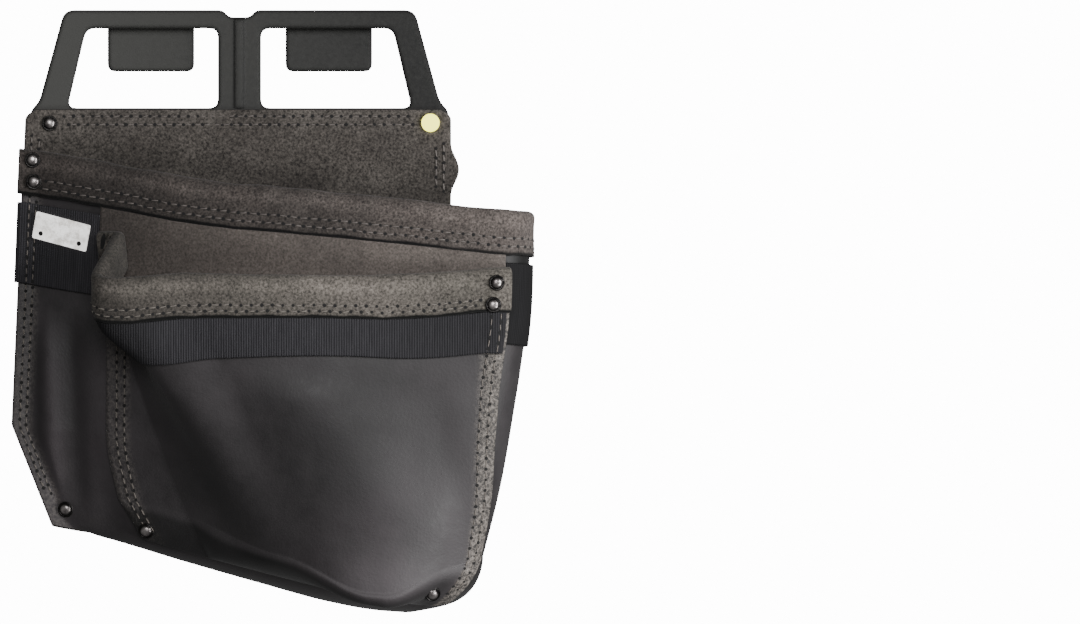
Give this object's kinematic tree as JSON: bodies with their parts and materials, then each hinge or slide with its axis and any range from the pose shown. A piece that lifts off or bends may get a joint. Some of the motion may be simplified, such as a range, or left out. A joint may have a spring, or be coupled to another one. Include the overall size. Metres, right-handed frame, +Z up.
{
  "type": "carpenter nail pouch (hang-on nail apron bag)",
  "caption": "Leather carpenter's nail pouch with a front nail pocket, suede collars and a plastic belt hanger.",
  "frame": {"origin": "middle of the hanger's width, under its hooks where the belt's top edge bears, halfway through the belt slot", "axes": "+X along the belt to the viewer's right, +Y back towards the wearer, +Z up"},
  "size_m": [0.2624, 0.0866, 0.3022],
  "materials": {
    "plastic": "fine matt texture",
    "back_suede": "rough suede split",
    "collar_suede": "rough suede split",
    "pale_suede": "rough suede split",
    "leather": "smooth, slightly waxed",
    "webbing": "ribbed woven tape",
    "steel": "gunmetal plated",
    "silver": "bare, satin",
    "marker": "matt"
  },
  "bodies": {
    "root": {"hanger": "plastic", "back_panel": "back_suede", "main_pouch": "leather", "main_collar": "collar_suede", "main_webbing": "webbing", "main_webbing_right": "webbing", "pocket_back": "collar_suede", "front_pocket": "leather", "front_collar": "pale_suede", "front_webbing": "webbing", "label_plate": "silver", "marker_disc": "marker", "rivet_hanger": "steel", "rivet_main_collar_top": "steel", "rivet_main_collar_bottom": "steel", "rivet_main_bottom": "steel", "rivet_pocket_left_top": "steel", "rivet_pocket_left_bottom": "steel", "rivet_pocket_right_top": "steel", "rivet_pocket_right_middle": "steel", "rivet_pocket_right_bottom": "steel"}
  },
  "joints": []
}
